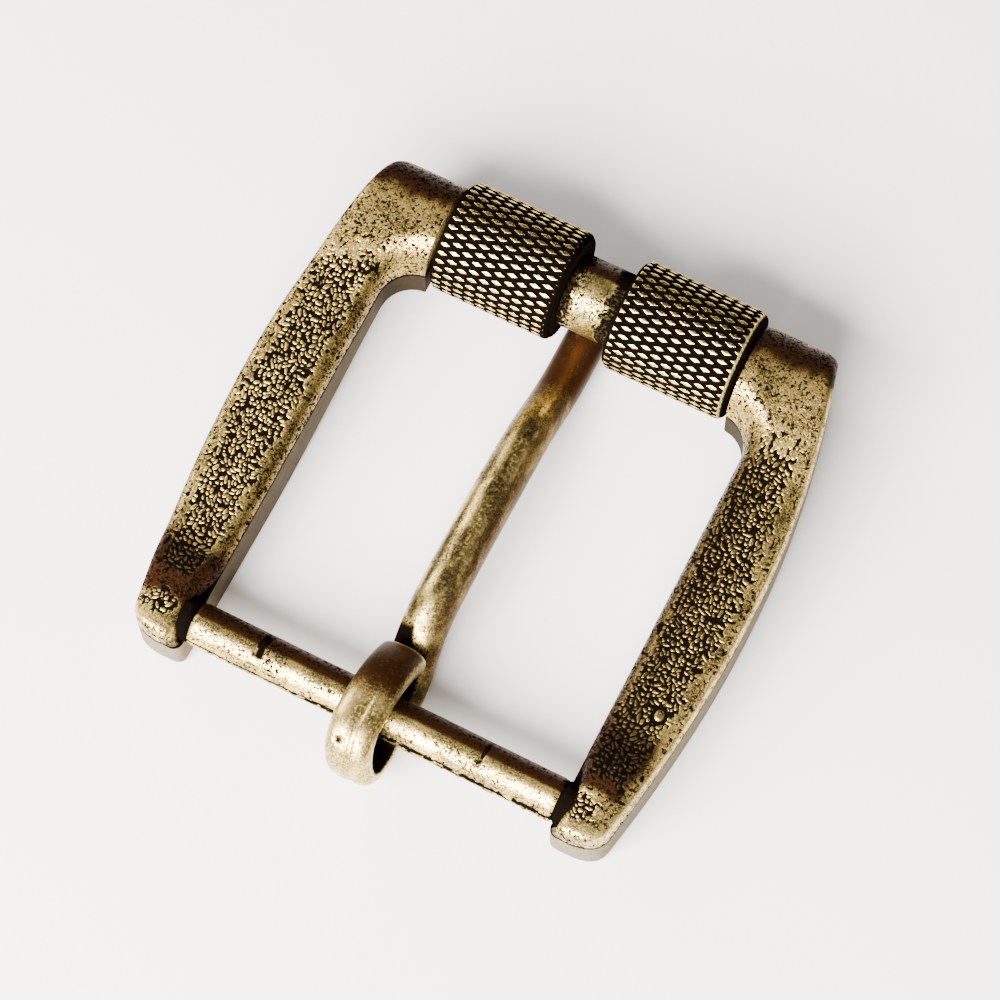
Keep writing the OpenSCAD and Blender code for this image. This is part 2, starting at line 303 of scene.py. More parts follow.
def shoulder(y):
    return arm["innerRound"] * (1 + 0.6 * smooth((y - 0.8 * span) / (0.08 * span))
                                - 0.5 * (1 - smooth(y / (0.12 * span))))


def topHeight(x, y, e):  # crown and camber, rounded down at the inner shoulder and at the outer bevel
    low, high = lowX(y) + scoop(y), outerX(y)
    t = (2 * x - low - high) / (high - low)
    arch = arm["camber"] * (1 - t * t) * (1 - smooth((y - 0.8 * span) / (0.2 * span)))
    body = (crown(y) + arch) * quarter(windowGap(x, y) / shoulder(y))
    bevel = arm["outerRound"] * (1 - quarter((outerX(y) - e - x) / arm["outerRound"]))
    return np.maximum(0.02, body - bevel - e)


def grains(u, v, k):
    # Raised grains: each cell holds one bent, turned oval at a scattered place; the height is 1 less the oval
    # distance to the nearest grain, and falls to 0 where a second grain comes as near, so channels part them
    size = arm["grainPitch"]
    i, j = np.floor(u / size), np.floor(v / size)
    best, second = np.full(u.shape, -9.0), np.full(u.shape, -9.0)
    for a in range(-2, 3):
        for b in range(-2, 3):
            ci, cj = i + a, j + b
            x = u - (ci + 0.5 + 0.7 * (scatter(ci, cj, k) - 0.5)) * size
            y = v - (cj + 0.5 + 0.7 * (scatter(ci, cj, k + 1) - 0.5)) * size
            turn = np.pi * scatter(ci, cj, k + 2)
            lengthwise = 0.22 + 0.5 * scatter(ci, cj, k + 3) ** 1.2
            across = 0.18 + 0.07 * scatter(ci, cj, k + 4)
            p = (x * np.cos(turn) + y * np.sin(turn)) / lengthwise
            q = (y * np.cos(turn) - x * np.sin(turn)) / across
            q = q + 0.8 * (scatter(ci, cj, k + 6) - 0.5) * (p * p - 0.3)
            height = 1 - np.sqrt(p * p + q * q)
            second = np.maximum(second, np.minimum(best, height))
            best = np.maximum(best, height)
    return np.minimum(best, (best - second) * 0.24)


def armSkin(side):
    # Stations: [y, inset]; the heel end is rounded, and steps are close where the form turns
    turn = np.linspace(0, np.pi / 2, 13)
    heel = np.stack([-arm["heelReach"] + arm["heelRound"] * (1 - np.cos(turn)),
                     arm["heelRound"] * (1 - np.sin(turn))], -1)
    runEnd = arm["windowY"] - arm["cornerR"]
    run = np.linspace(arm["heelRound"] - arm["heelReach"], runEnd, 430)[1:-1]
    bend = runEnd + arm["cornerR"] * np.sin(np.linspace(0, np.pi / 2, 44)) - 0.02
    face = arm["windowY"] + shoulder(np.array(arm["windowY"])) * (1 - np.cos(np.linspace(0, np.pi / 2, 34)))
    rear = mix(face[-1], arm["rearY"], np.sin(np.linspace(0, np.pi / 2, 96)))[1:]
    y = np.concatenate([heel[:, 0], run, bend, face, rear])
    e = np.concatenate([heel[:, 1], np.zeros(len(y) - len(heel))])
    e[-1] = 0.2
    y, e = y[:, None], e[:, None]
    zp, zb = partingZ(y), underZ(y) + e
    xl, xh, xo = lowX(y) + e, lowX(y) + scoop(y) + e, outerX(y) - e
    r = np.minimum(arm["footRound"], (zp - zb) / 3)
    a = np.linspace(0, np.pi / 2, 5)[None, :]

    def part(x, z, wall, top, line=0.0, shade=0.0):  # one stretch of the ring, with its marks
        x, z = np.broadcast_arrays(x, z)
        return x, z, *(np.zeros(x.shape) + mark for mark in (wall, top, line, shade))

    groove = arm["partingDepth"]
    up = np.linspace(0, 1, 12)[None, 1:]
    # Painted shade on the inner walls: darker from y = 2, darkest in the window's corner from y = 38, fading
    # out at the back end
    wallShade = smooth((y - 2.0) / 2.5) * mix(0.6, 1.0, smooth((y - 38) / 3)) * smooth((51 - y) / 2)
    stretches = [part(xl + r * (1 - np.sin(a)), zb + r * (1 - np.cos(a)), 1.0, 0.0, 0.0, wallShade)]
    stretches.append(part(xl * np.ones_like(up), mix(zb + r, zp - 0.22, up), 1.0, 0.0, 0.0, wallShade))
    line = np.array([[-0.12, -0.06, 0.0]])
    dent = np.array([[0.35, 1.0, 0.6]]) * groove
    black = np.array([[0.4, 1.0, 0.9]])
    stretches.append(part(xl + dent, zp + line, 1.0, 0.0, black, wallShade))
    # Across the top: the inner shoulder by equal angles, the flat by equal steps, the bevel by equal angles
    wide = xo - xh
    inner = np.minimum(shoulder(y), 0.4 * wide)
    bevel = np.minimum(arm["outerRound"], 0.2 * wide)
    x = np.concatenate([xh + inner * (1 - np.cos(np.linspace(0, np.pi / 2, 34)))[None, :],
                        mix(xh + inner, xo - bevel, np.linspace(0, 1, 62)[None, 1:-1]),
                        xo - bevel * (1 - np.sin(np.linspace(0, np.pi / 2, 12)))[None, :]], 1)
    height = topHeight(x, y, e)
    stretches.append(part(x, zp + height, 0.0, 1.0))
    rimZ = zp + height[:, -1:]
    stretches.append(part(xo + 0 * up[:, :6], mix(rimZ, zp + 0.14, up[:, :6] / up[0, 5]), 0.0, 0.0))
    stretches.append(part(xo - dent[:, ::-1], zp + line[:, ::-1] - 0.06, 1.0, 0.0, 0.8 * black[:, ::-1]))
    stretches.append(part(xo + 0 * up, mix(zp - 0.25, zb + r, up), 1.0, 0.0))
    stretches.append(part(xo - r * (1 - np.sin(a[:, ::-1])), zb + r * (1 - np.cos(a[:, ::-1])), 1.0, 0.0))
    stretches.append(part(mix(xo - r, xl + r, np.linspace(0, 1, 9)[None, 1:-1]), zb, 1.0, 0.0))
    x, z, wall, top, line, shade = (np.concatenate([s[i] for s in stretches], 1) for i in range(6))
    y = np.broadcast_to(y, x.shape)
    # Grains on the top; toward the edges, the housing and the dip they merge, and only dark slits are left
    inside, outside = windowGap(x, y), outerX(y) - x
    k = 11 if side > 0 else 43
    wave = rolling(x / 1.7, y / 1.9, k + 30) - 0.5
    plain = 0.75 if side < 0 else 0.3
    border = 0.9 if side > 0 else 0.45
    field = smooth((inside - plain + 0.7 * wave) / 1.2) * smooth((outside - border + 0.6 * wave) / 1.5)
    field = field * smooth((44.2 + 1.6 * wave - y - 0.1 * (x - 22)) / 4.5) * smooth((y - 2.6 + wave) / 1.3)
    patch = np.hypot((x - (22.8 if side > 0 else 23.8)) / 2.1, (y + 0.3) / 1.5)
    field = np.maximum(field, 1 - smooth((patch - 0.6 + 0.6 * wave) / 0.6)) * top
    bendX, bendY = (0.10 * (rolling(x / 0.45, y / 0.45, k + i) - 0.5) for i in (20, 21))
    relief = 6 * (grains(x + bendX, y + bendY, k) - mix(-0.6, 0.12, field ** 0.4))
    relief = mix(2, relief, smooth(field / 0.05))
    island = smooth(relief / 0.9 + 0.5)
    sink = arm["grainDepth"] * smooth(2.5 * field) * (1 - island)
    worn = 0.03 * (rolling(x / 2.3, y / 2.9, k + 40) + 0.5 * rolling(x / 0.8, y / 0.8, k + 50)) * top
    if side > 0:  # a fine groove inside the polished rim of the right arm
        along = smooth((y - 1.5) / 2) * smooth((46 - y) / 4)
        groove = along * ridge(outside - arm["rimPlace"], 0.19) * top
        sink = sink + arm["rimDepth"] * groove
        line = np.maximum(line, 0.95 * groove * smooth((rolling(x, y / 0.5, k + 80) - 0.1) / 0.5))
        nub = np.hypot(x - 25.4, (y - 11.6) * 0.8)  # one large grain in a dark ring
        ring = 1 - smooth((nub - 0.75) / 0.15)
        relief = mix(relief, (0.45 - nub) * 4, ring)
        sink = mix(sink, 0.16 * smooth((nub - 0.25) / 0.25), ring)
    z = z - np.minimum(sink + worn, 0.85 * np.maximum(0, z - zp)) * top
    rows = np.stack([side * x, y, z], -1)
    rim = ridge(outside - 0.2, 0.3) * top * (1.0 if side > 0 else 0.15)
    rim = np.maximum(rim, ridge(y + 2.3, 0.7) * top)
    # Brown painted shade on the housing's back, which faces away, from y = 46.6, and on the dip behind the heel
    # block
    wavy = 1.4 * (rolling(x / 0.7, y / 2.5, k + 70) - 0.5)
    brownShade = smooth((y - 46.6 + wavy) / 3.8) * (1 - 0.6 * smooth((y - 52.2) / 0.9))
    if side > 0:
        dip = smooth((y - 0.6 + 0.5 * wave) / 1.6) * (1 - smooth((y - 7.5) / 5.5))
        dip = dip * smooth((outside - 0.5) / 1.1)
    else:
        dip = smooth((y + 0.6 + 0.5 * wave) / 1.6) * (1 - smooth((y - 5.0) / 4.5))
    brownShade = np.maximum(brownShade, dip) * top
    # Painted shade on the top: the right arm darker toward its inner side and over its grains, both arms darker
    # at the inner shoulder, the left arm darker along its outer edge
    paintedShade = smooth((7.4 - inside) / 5.6) * (0.95 if side > 0 else 0.0)
    paintedShade = np.maximum(paintedShade, smooth((1.3 - inside) / 0.9) * (1.0 if side > 0 else 0.65))
    paintedShade = np.maximum(paintedShade, (0.45 if side > 0 else 0.0) * field)
    paintedShade = paintedShade * smooth((43 - y) / 4) * smooth((y - 2) / 4)
    if side < 0:
        paintedShade = np.maximum(paintedShade, 0.95 * ridge(outside, 0.45) * smooth((y - 3) / 3))
    shade = np.where(top > 0, paintedShade, shade)
    marks = dict(relief=np.clip(relief, -2, 2), field=field, wall=wall, rim=rim, brownShade=brownShade, line=line,
                 shade=shade)
    return closeEnds(rows, marks, 6)


def castLook(name):
    # Brass cast with raised grains: gold on the grains, near-black ground between them, dark pits on plain
    # places, brown painted shade toward the back of the housing and in the dip behind the heel block, painted
    # shade in umber over the right arm's inner side and grains, the inner shoulders and the left arm's outer
    # edge, grey brushed walls with painted shade on the inner walls, darkest in the window's corner, and a dark
    # line within 0.2 mm of the parting plane z = heelHeight + rise*y/span
    material, tree, shader, place = newBrass(name)
    relief, field, wall = mark(place, "relief"), mark(place, "field"), mark(place, "wall")
    rim, brownShaded, line, shade = (mark(place, key) for key in ("rim", "brownShade", "line", "shade"))
    cloud = place.grain(2.6, 3.0, 0.55)
    fine = place.grain(0.15, 2.0, 0.6)
    pitted = place.grain(0.33, 3.0, 0.65, 0.6)
    gold = cloud.step(0.36, 0.62).tint(brassLook["olive"], brassLook["gold"])
    gold = fine.step(0.48, 0.76).tint(gold, brassLook["cream"])
    gold = (rim * 0.3).tint(gold, brassLook["cream"])
    # painted shade in umber, where the shade mark is set
    gold = (shade * (0.65 + 0.5 * cloud)).tint(gold, brassLook["umber"])
    # brown painted shade toward the back of the housing and in the dip
    brown = (brownShaded + 1.6 * (pitted - 0.5)).step(0.05, 1.0)
    gold = brown.tint(gold, field.tint(brassLook["brown"], (0.024, 0.0145, 0.007)))
    flecks = place.grain(0.19, 3.0, 0.7, 0.5).step(0.47, 0.41)
    pits = ((pitted + 0.12 * (cloud - 0.5)).step(0.50, 0.44) + flecks * 0.6) * (1 - rim * 0.5)
    slits = relief.step(0.25, -0.25)
    dark = (pits * (1 - 0.8 * field) + slits * 0.97).step(0.0, 0.97) * (1 - wall)
    brushed = place.stretched(1.0, 0.12, 1.0).grain(0.25, 3.0, 0.6)
    # the walls' painted shade, darkest in the window's corner
    plain = shade.tint(brassLook["grey"], (0.018, 0.014, 0.010))
    plain = (brushed.step(0.35, 0.65) * 0.35 + pitted.step(0.45, 0.38) * 0.4).tint(plain, brassLook["umber"])
    y, z = (place.node("ShaderNodeSeparateXYZ", None, {0: place}, i) for i in (1, 2))
    off = z * 1000 - (y * 1000 + buckle["middleY"]) * (rise / span) - buckle["heelHeight"]
    seam = off.sum("ABSOLUTE", off).step(0.25, 0.15) * cloud.step(0.25, 0.45)
    dark = dark + line * (0.75 + 0.4 * fine) + seam * 0.9
    colour = dark.tint(wall.tint(gold, plain), brassLook["black"])
    rough = 0.23 + 0.35 * dark + 0.08 * fine + 0.2 * wall + 0.15 * brown
    metal = (1.0 - dark) * (1.0 - 0.25 * brown) * (1.0 - 0.85 * wall)
    height = fine * 0.35 + pitted * (1 - wall) * (1 - field) + brushed * wall * 0.6
    finishBrass(tree, shader, colour, rough, metal, height, 0.05)
    return material


castBrass = castLook("cast_brass")
for side, node in ((-1, "arm_left"), (1, "arm_right")):
    rows, marks = armSkin(side)
    piece = makePiece(node + "_cast", rows, marks)
    standFor(piece, node, "frame", castBrass)


# ---- rollers ----

roller = dict(
    radius=6.0, length=13.6, chamfer=0.45, bore=2.56, inner=3.12,
    starts=38,        # grooves round the roller in each direction
    turn=0.3875,      # waves per mm along the axis
    flat=0.47,        # share of each wave that the raised diamond keeps
    depth=0.26,
    phases=((-3.01, 1.238), (-2.906, 1.771)),   # where the two waves start, left roller and right roller
)


def rollerSkin(side):
    # Two sets of crossing spiral grooves: phases 38*angle +- 2*pi*0.3875*x, and a diamond is raised where
    # both are near a crest; the end chamfers and faces are plain
    phase = roller["phases"][side > 0]
    r, c = roller["radius"], roller["chamfer"]
    low = roller["inner"] if side > 0 else -roller["inner"] - roller["length"]
    along = np.linspace(c, roller["length"] - c, 132)
    slope = np.linspace(0, 1, 5)[:-1]
    face = np.linspace(0, 1, 7)[:-1]
    x = np.concatenate([0 * face, c * slope, along, roller["length"] - c * slope[::-1],
                        roller["length"] + 0 * face])
    base = np.concatenate([mix(roller["bore"], r - c, face), r - c + c * slope, r + 0 * along,
                           (r - c + c * slope)[::-1], mix(roller["bore"], r - c, face)[::-1]])
    cut = np.concatenate([0 * face, 0 * slope, 1 + 0 * along, 0 * slope, 0 * face])
    outer = 1.0 if side > 0 else 0.5
    rim = np.concatenate([0 * face, 0.5 * slope, 0 * along, outer * slope[::-1] ** 0.5, 0 * face])
    cap = np.concatenate([1 + 0 * face, 0 * slope, 0 * along, 0 * slope, 1 + 0 * face])
    angle = np.arange(456) / 456 * 2 * np.pi
    x, base, cut, rim, cap = (v[:, None] for v in (x + low, base, cut, rim, cap))
    wave = 2 * np.pi * roller["turn"] * x
    a = np.abs((roller["starts"] * angle + wave + phase[0] + np.pi) % (2 * np.pi) - np.pi) / np.pi
    b = np.abs((roller["starts"] * angle - wave + phase[1] + np.pi) % (2 * np.pi) - np.pi) / np.pi
    flat = roller["flat"]
    drop = np.maximum(np.clip((a - flat) / (1 - flat), 0, 1), np.clip((b - flat) / (1 - flat), 0, 1))
    near = smooth((x - low - c) / 0.2) * smooth((low + roller["length"] - c - x) / 0.2)
    radius = base - roller["depth"] * drop ** 0.8 * cut * mix(0.75, 1, near)
    y = span - radius * np.cos(angle)
    z = buckle["rollerHeight"] + radius * np.sin(angle)
    rows = np.stack([np.broadcast_to(x, y.shape), y, z], -1)
    shape = np.ones_like(y)
    marks = dict(rim=rim * shape, cap=cap * shape, cut=cut * shape)
    # The bore closes the skin: back from the last ring to the first at the bore's radius
    steps = np.linspace(1, 0, 6)[1:-1][:, None, None]
    tube = rows[0] + (rows[-1] - rows[0]) * steps
    rows = np.concatenate([rows, tube])
    marks = {k: np.concatenate([v, np.zeros((4, v.shape[1]))]) for k, v in marks.items()}
    return rows, marks


def knurlLook(name, phase):
    # Black grooves, worn gold diamonds, a pale worn chamfer and dark end faces. A diamond shows where both
    # waves, (38*angle +- 2*pi*0.3875*x + phase)/(2*pi), are near a whole number
    material, tree, shader, place = newBrass(name)
    rim, cap, cut = mark(place, "rim"), mark(place, "cap"), mark(place, "cut")
    x, y, z = (place.node("ShaderNodeSeparateXYZ", None, {0: place}, i) * 1000 for i in range(3))
    angle = z.sum("ARCTAN2", z - buckle["rollerHeight"], span - buckle["middleY"] - y)
    around, wave = angle * (roller["starts"] / (2 * math.pi)), x * roller["turn"]
    a = x.sum("PINGPONG", around + wave + phase[0] / (2 * math.pi), 0.5) * 2
    b = x.sum("PINGPONG", around - wave + phase[1] / (2 * math.pi), 0.5) * 2
    diamond = x.sum("MAXIMUM", a, b).step(roller["flat"] + 0.03, roller["flat"] - 0.03) * cut
    cloud = place.grain(3.5, 2.0)
    fine = place.grain(0.18, 2.0, 0.6)
    worn = (diamond * (0.75 + 0.5 * cloud) + rim * (0.3 + 0.7 * fine)).step(0.3, 0.8)
    gold = fine.step(0.35, 0.60).tint(brassLook["gold"], brassLook["cream"])
    colour = worn.tint(brassLook["black"], gold)
    colour = cap.tint(colour, (0.012, 0.008, 0.006))
    rough = 0.6 - 0.36 * worn + 0.06 * fine
    finishBrass(tree, shader, colour, rough, worn, fine, 0.02)
    return material


for side, node in ((-1, "roller_left"), (1, "roller_right")):
    rows, marks = rollerSkin(side)
    piece = makeRing(node + "_knurl", rows, marks, 40)
    standFor(piece, node, node, knurlLook(node + "_brass", roller["phases"][side > 0]))


# ---- bars ----

bars = dict(
    heelR=2.29, neckR=1.95, neckX=20.5, heelRound=0.6, spigotX=24.65,
    axleR=2.5, axleX=21.27, collarR=4.02, collarHalf=3.0, collarRound=0.25,
    seamAngle=9.0,      # height of the rough mould line on the heel bar's front, in degrees
    notches=((-12.9, 0.45, 0.20), (11.8, 0.16, 0.22)),   # place, half width and depth of the dark cuts
)


def barSkin(x, radius, y0, z0, dents, count=120):
    # A turned bar along X: radius(x) less the dents, round the axis at y0, z0; angle 0 faces -Y, 90 up
    angle = np.arange(count) / count * 2 * np.pi
    x, radius = x[:, None], radius[:, None]
    angle = angle[None, :]
    cut, marks = dents(x, angle)
    r = radius - np.minimum(cut, 0.6 * radius)
    y, z = y0 - r * np.cos(angle), z0 + r * np.sin(angle)
    rows = np.stack([np.broadcast_to(x, y.shape), y, z], -1)
    return closeEnds(rows, marks, 3)


def heelDents(x, angle):
    # A rough mould line along the front, two dark cuts, and shallow hammering
    degrees = np.degrees(angle)
    degrees = np.where(degrees > 180, degrees - 360, degrees)
    shape = np.ones(np.broadcast_shapes(x.shape, angle.shape))
    wander = 5 * (rolling(x / 1.6, 0 * x, 5) - 0.5)
    rag = rolling(x / 0.35, degrees / 9.0, 8) * shape
    run = smooth((x + 10) / 4) * shape
    over = degrees - bars["seamAngle"] + wander
    seam = ridge(over, mix(4.0, 12.0, run)) * smooth((rag - 0.15 + 0.2 * (1 - run)) / 0.3)
    flash = ridge(over + 15, 6.0) * smooth((rolling(x / 0.6, 0 * x, 14) - 0.5) / 0.2) * run
    cuts = np.zeros(shape.shape)
    for place, half, depth in bars["notches"]:
        lean = 0.012 * (degrees - 60)
        band = smooth((half + 0.14 - np.abs(x - place - lean * 0.25)) / 0.16)
        over = smooth((degrees - 38) / 40) * smooth((150 - degrees) / 25)
        cuts = np.maximum(cuts, band * over * mix(0.55, 1, rolling(x / 0.3, degrees / 14, 21)) * depth / 0.22)
    rough = smooth((1.6 - np.abs(x + 11.3)) / 1.0) * smooth((degrees - 20) / 20) * smooth((125 - degrees) / 25)
    wave = 0.02 * rolling(x / 1.5, degrees / 30, 3) + 0.05 * rough * rolling(x / 0.35, degrees / 10, 31)
    neck = smooth((np.abs(x) - bars["neckX"] + 0.3) / 0.25) * shape
    lumps = (0.4 * smooth((np.abs(x) - 20.35) / 0.7) + 0.25 * rolling(x / 0.4, degrees / 16, 77)) * neck
    cut = 0.22 * cuts + 0.09 * seam - 0.14 * flash + wave - lumps
    # Brown painted shade on the faces that look up and back, between 78 and 150 degrees
    brownShade = smooth((degrees - 78) / 25) * (1 - smooth((degrees - 150) / 20)) * shape
    # Black painted shade in the gap between the bar's necks and the heel blocks, ragged
    neckShade = neck * smooth((rag + 0.55) / 0.7)
    groove = np.maximum(smooth(1.6 * cuts - 0.25 + 0.5 * (rag - 0.5)), neckShade) * shape
    return cut, dict(groove=groove, seam=seam * (1 - flash), rough=rough * shape, brownShade=brownShade)


def collarDents(x, angle):
    shape = np.ones(np.broadcast_shapes(x.shape, angle.shape))
    mottled = smooth((np.abs(x) - 0.9) / 1.5) * shape
    cut = 0.03 * rolling(x / 0.6, np.degrees(angle) / 11, 61) * shape
    degrees = np.degrees(angle) * shape
    # Brown painted shade on the faces that look up and back, between 88 and 150 degrees
    brownShade = smooth((degrees - 88) / 20) * (1 - smooth((degrees - 150) / 20))
    patchy = rolling(x / 0.5, np.degrees(angle) / 12, 66)
    # Black toward the collar's ends beside the rollers: partly patina, partly painted shade standing for the
    # rollers' shadow and dark reflection
    side = smooth((np.abs(x + 0.3) - 1.3 + 1.2 * (patchy - 0.5)) / 0.9) * shape
    return cut, dict(groove=0.8 * side, seam=0 * shape, rough=mottled, brownShade=brownShade)


def barLook(name, mottle):
    # Smooth brass: gold where worn, a brown patina in clouds, brown painted shade on the faces that look up and
    # back, black specks, black in cuts and along the mould line, black painted shade at the heel bar's necks,
    # and black at the collar's ends beside the rollers, partly patina and partly painted shade
    material, tree, shader, place = newBrass(name)
    groove, seam, rough = mark(place, "groove"), mark(place, "seam"), mark(place, "rough")
    cloud = place.grain(3.0, 3.0, 0.6)
    fine = place.grain(0.16, 2.0, 0.6)
    pitted = place.grain(0.32, 3.0, 0.65, 0.4)
    gold = cloud.step(0.40, 0.66).tint(brassLook["olive"], brassLook["gold"])
    gold = fine.step(0.42, 0.68).tint(gold, brassLook["cream"])
    # brown painted shade on the faces that look up and back
    brown = (mark(place, "brownShade") + 1.0 * (pitted - 0.5)).step(0.1, 0.95)
    gold = (cloud.step(0.60, 0.40) * 0.35).tint(gold, brassLook["umber"])
    gold = brown.tint(gold, brassLook["brown"])
    pits = (pitted + 0.1 * (cloud - 0.5)).step(0.47, 0.42)
    blotch = pitted.step(0.56, 0.48) * rough * mottle
    # the groove mark holds the heel bar's dark cuts, and the painted shade at the necks and at the collar's
    # ends
    dark = (pits * 0.75 + blotch + groove + seam * 1.5).step(0.0, 0.9)
    colour = dark.tint(gold, brassLook["black"])
    roughness = 0.24 + 0.3 * dark + 0.10 * fine + 0.12 * brown
    metal = (1.0 - dark) * (1.0 - 0.3 * brown)
    finishBrass(tree, shader, colour, roughness, metal, fine * 0.3 + pitted * 0.8, 0.04)
    return material


turn = np.linspace(0, np.pi / 2, 7)
shoulderX = bars["neckX"] - bars["heelRound"] * (1 - np.sin(turn))
shoulderR = bars["heelR"] - bars["heelRound"] * (1 - np.cos(turn))
halfX = np.concatenate([shoulderX, [bars["neckX"]], np.linspace(bars["neckX"] + 0.1, bars["spigotX"], 14)])
halfR = np.concatenate([shoulderR, [bars["neckR"]], np.full(14, bars["neckR"])])
middle = np.linspace(-shoulderX[0], shoulderX[0], 420)[1:-1]
x = np.concatenate([-halfX[::-1], middle, halfX])
radius = np.concatenate([halfR[::-1], np.full(len(middle), bars["heelR"]), halfR])
rows, marks = barSkin(x, radius, 0.0, buckle["heelHeight"], heelDents)
heelBar = makePiece("heel_bar_turned", rows, marks, 50)
standFor(heelBar, "heel_bar", "frame", barLook("bar_brass", 0.8))

turn = np.linspace(0, np.pi / 2, 6)
edge = bars["collarHalf"] - bars["collarRound"] * (1 - np.sin(turn))
edgeR = bars["collarR"] - bars["collarRound"] * (1 - np.cos(turn))
face = np.linspace(edgeR[-1], bars["axleR"], 6)[1:]
halfX = np.concatenate([edge, np.full(5, bars["collarHalf"]),
                        np.linspace(bars["collarHalf"] + 0.2, bars["axleX"], 30)])
halfR = np.concatenate([edgeR, face, np.full(30, bars["axleR"])])
middle = np.linspace(-edge[0], edge[0], 60)[1:-1]
x = np.concatenate([-halfX[::-1], middle, halfX])
radius = np.concatenate([halfR[::-1], np.full(len(middle), bars["collarR"]), halfR])
rows, marks = barSkin(x, radius, span, buckle["rollerHeight"], collarDents)
rollerBar = makePiece("roller_bar_turned", rows, marks, 50)
standFor(rollerBar, "roller_bar", "frame", barLook("collar_brass", 1.0))


# ---- prong ----

prong = dict(
    shankD=4.8, tipT=3.6, tipW=4.5, tipSide=0.3, tipOver=4.6, shankRise=0.3,
    curlW=5.0, curlT=2.6, curlBack=2.5, curlEnd=6.2, curlSkew=1.0, eyeR=2.44, curlMid=3.72,
)


def shankRow(y):
    # Middle line, width and thickness of the shank at y: arched, thinner to the tip, flat to the curl
    far = smooth((y - 0.5 * span) / (0.36 * span))
    dipNear, dipFar = prong["curlBack"] + 0.6, prong["curlEnd"] + 7.2
    near = smooth((dipFar - y) / (dipFar - dipNear))
    tipZ = prong["tipT"] / 2 - buckle["heelHeight"]
    arch = prong["shankRise"] - 0.26 * span * (y / span - 0.4) ** 2
    arch = mix(arch, tipZ, smooth((y - 0.68 * span) / (0.2 * span)))
    x = mix(-prong["tipSide"] * y / span, 0.5 * prong["curlSkew"], near * near)
    return np.stack([x, y, mix(arch, -prong["curlMid"], near),
                     mix(mix(prong["shankD"], prong["tipW"], far), prong["curlW"], near),
                     mix(mix(prong["shankD"], prong["tipT"], far), prong["curlT"], near)], -1)


def prongRows():
    # Rows of [x, y, z, width, thickness]: blunt tip, shank, round end in front of the heel bar, and the run
    # back over it
    tipY, blunt = span + prong["tipOver"], 0.45 * prong["tipT"]
    a = np.radians(np.linspace(6, 90, 12))
    tip = shankRow(tipY - blunt * (1 - np.sin(a)))
    tip[:, 3:] *= mix(0.25, 1, np.sqrt(1 - (1 - (1 - np.cos(a))) ** 2))[:, None]
    shank = shankRow(np.linspace(tipY - blunt, prong["curlBack"] + 0.6, 260)[1:])
    a = np.linspace(0, np.pi, 76)
    side, mid = 0.5 * prong["curlSkew"], prong["curlMid"]
    bend = np.stack([side - prong["curlSkew"] * smooth((np.degrees(a) - 60) / 120),
                     -prong["curlBack"] - mid * np.sin(a),
                     -mid * np.cos(a), prong["curlW"] + 0 * a, prong["curlT"] + 0 * a], -1)
    t = np.linspace(0, 1, 60)[1:]
    reach = prong["curlEnd"] - 0.3
    y = mix(-prong["curlBack"], reach, t)
    fall = mid - 0.75
    drop = fall * np.maximum(0, y / reach) ** 2
    over = np.stack([(side - prong["curlSkew"]) * (1 - 0.6 * t * t), y, mid - drop,
                     prong["curlW"] + 0 * t, prong["curlT"] + 0 * t], -1)
    s = np.linspace(0, 1, 8)[1:]
    lastRow = over[-1]
    shrink = mix(1, 0.8, 1 - np.sqrt(1 - s * s))
    end = np.stack([lastRow[0] + 0 * s, lastRow[1] + 0.27 * s, lastRow[2] - 0.27 * s * 2 * fall / reach,
                    lastRow[3] * shrink, lastRow[4] * shrink], -1)
    return np.concatenate([tip, shank, bend, over, end])


